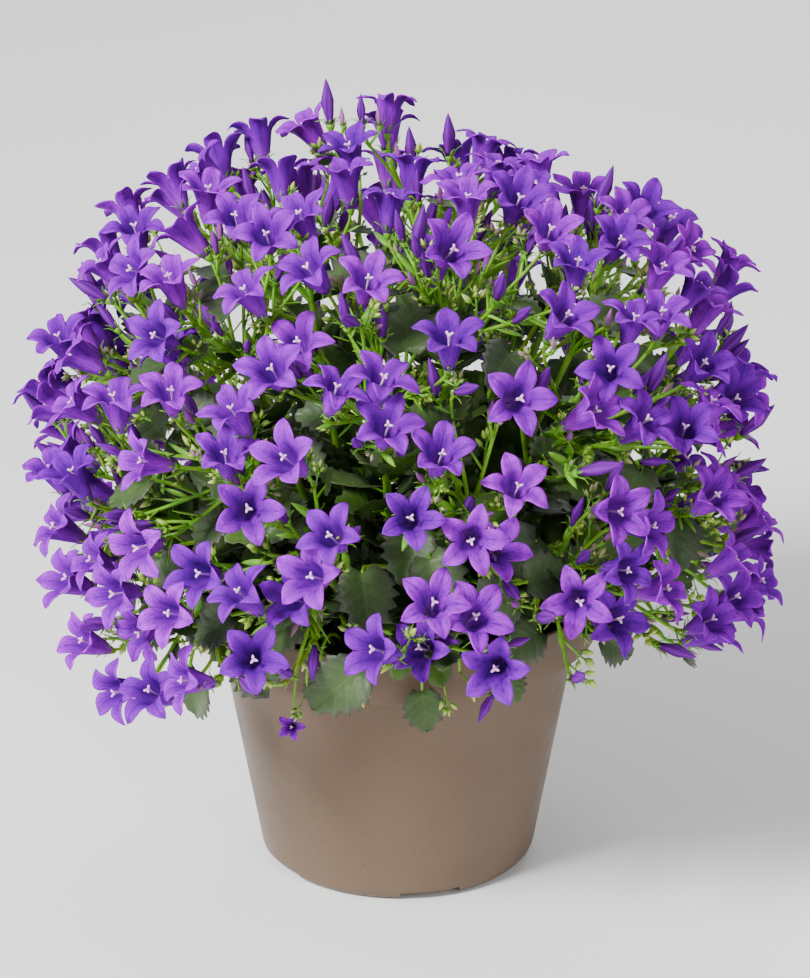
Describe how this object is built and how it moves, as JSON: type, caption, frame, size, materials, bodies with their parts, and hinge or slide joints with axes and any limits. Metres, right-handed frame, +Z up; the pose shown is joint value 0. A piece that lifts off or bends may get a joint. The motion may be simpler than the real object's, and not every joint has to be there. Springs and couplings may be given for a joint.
{
  "type": "potted bellflower",
  "caption": "Potted bellflower in full bloom: a dense dome of violet star-shaped bells, buds and toothed leaves over a tapered taupe plastic pot with a wide collar",
  "frame": {"origin": "middle of the pot's foot, on the surface that the pot stands on", "axes": "+Z up, -Y towards the side that the picture shows, +X to its right"},
  "size_m": [0.2475, 0.2524, 0.2414],
  "materials": {
    "pot_plastic": "satin",
    "soil": "matte",
    "petals": "matte",
    "leaves": "matte",
    "stems": "matte",
    "buds": "matte"
  },
  "bodies": {
    "root": {"pot": "pot_plastic", "soil": "soil", "spray_01": "petals", "spray_02": "petals", "spray_03": "petals", "spray_04": "petals", "spray_05": "petals", "spray_06": "petals", "spray_07": "petals", "spray_08": "petals", "spray_09": "petals", "spray_10": "petals", "spray_11": "petals", "spray_12": "petals", "spray_13": "petals", "spray_14": "petals", "spray_15": "petals", "spray_16": "petals", "spray_17": "petals", "spray_18": "petals", "spray_19": "petals", "spray_20": "petals", "spray_21": "petals", "spray_22": "petals", "spray_23": "petals", "spray_24": "petals", "spray_25": "petals", "spray_26": "petals", "spray_27": "petals", "spray_28": "petals", "spray_29": "petals", "spray_30": "petals", "spray_31": "petals", "spray_32": "petals", "leaves_01": "leaves", "leaves_02": "leaves", "leaves_03": "leaves", "leaves_04": "leaves", "leaves_05": "leaves", "leaves_06": "leaves", "leaves_07": "leaves", "leaves_08": "leaves", "leaves_09": "leaves", "leaves_10": "leaves", "leaves_11": "leaves", "leaves_12": "leaves", "leaves_13": "leaves", "leaves_14": "leaves", "leaves_15": "leaves", "leaves_16": "leaves"}
  },
  "joints": []
}
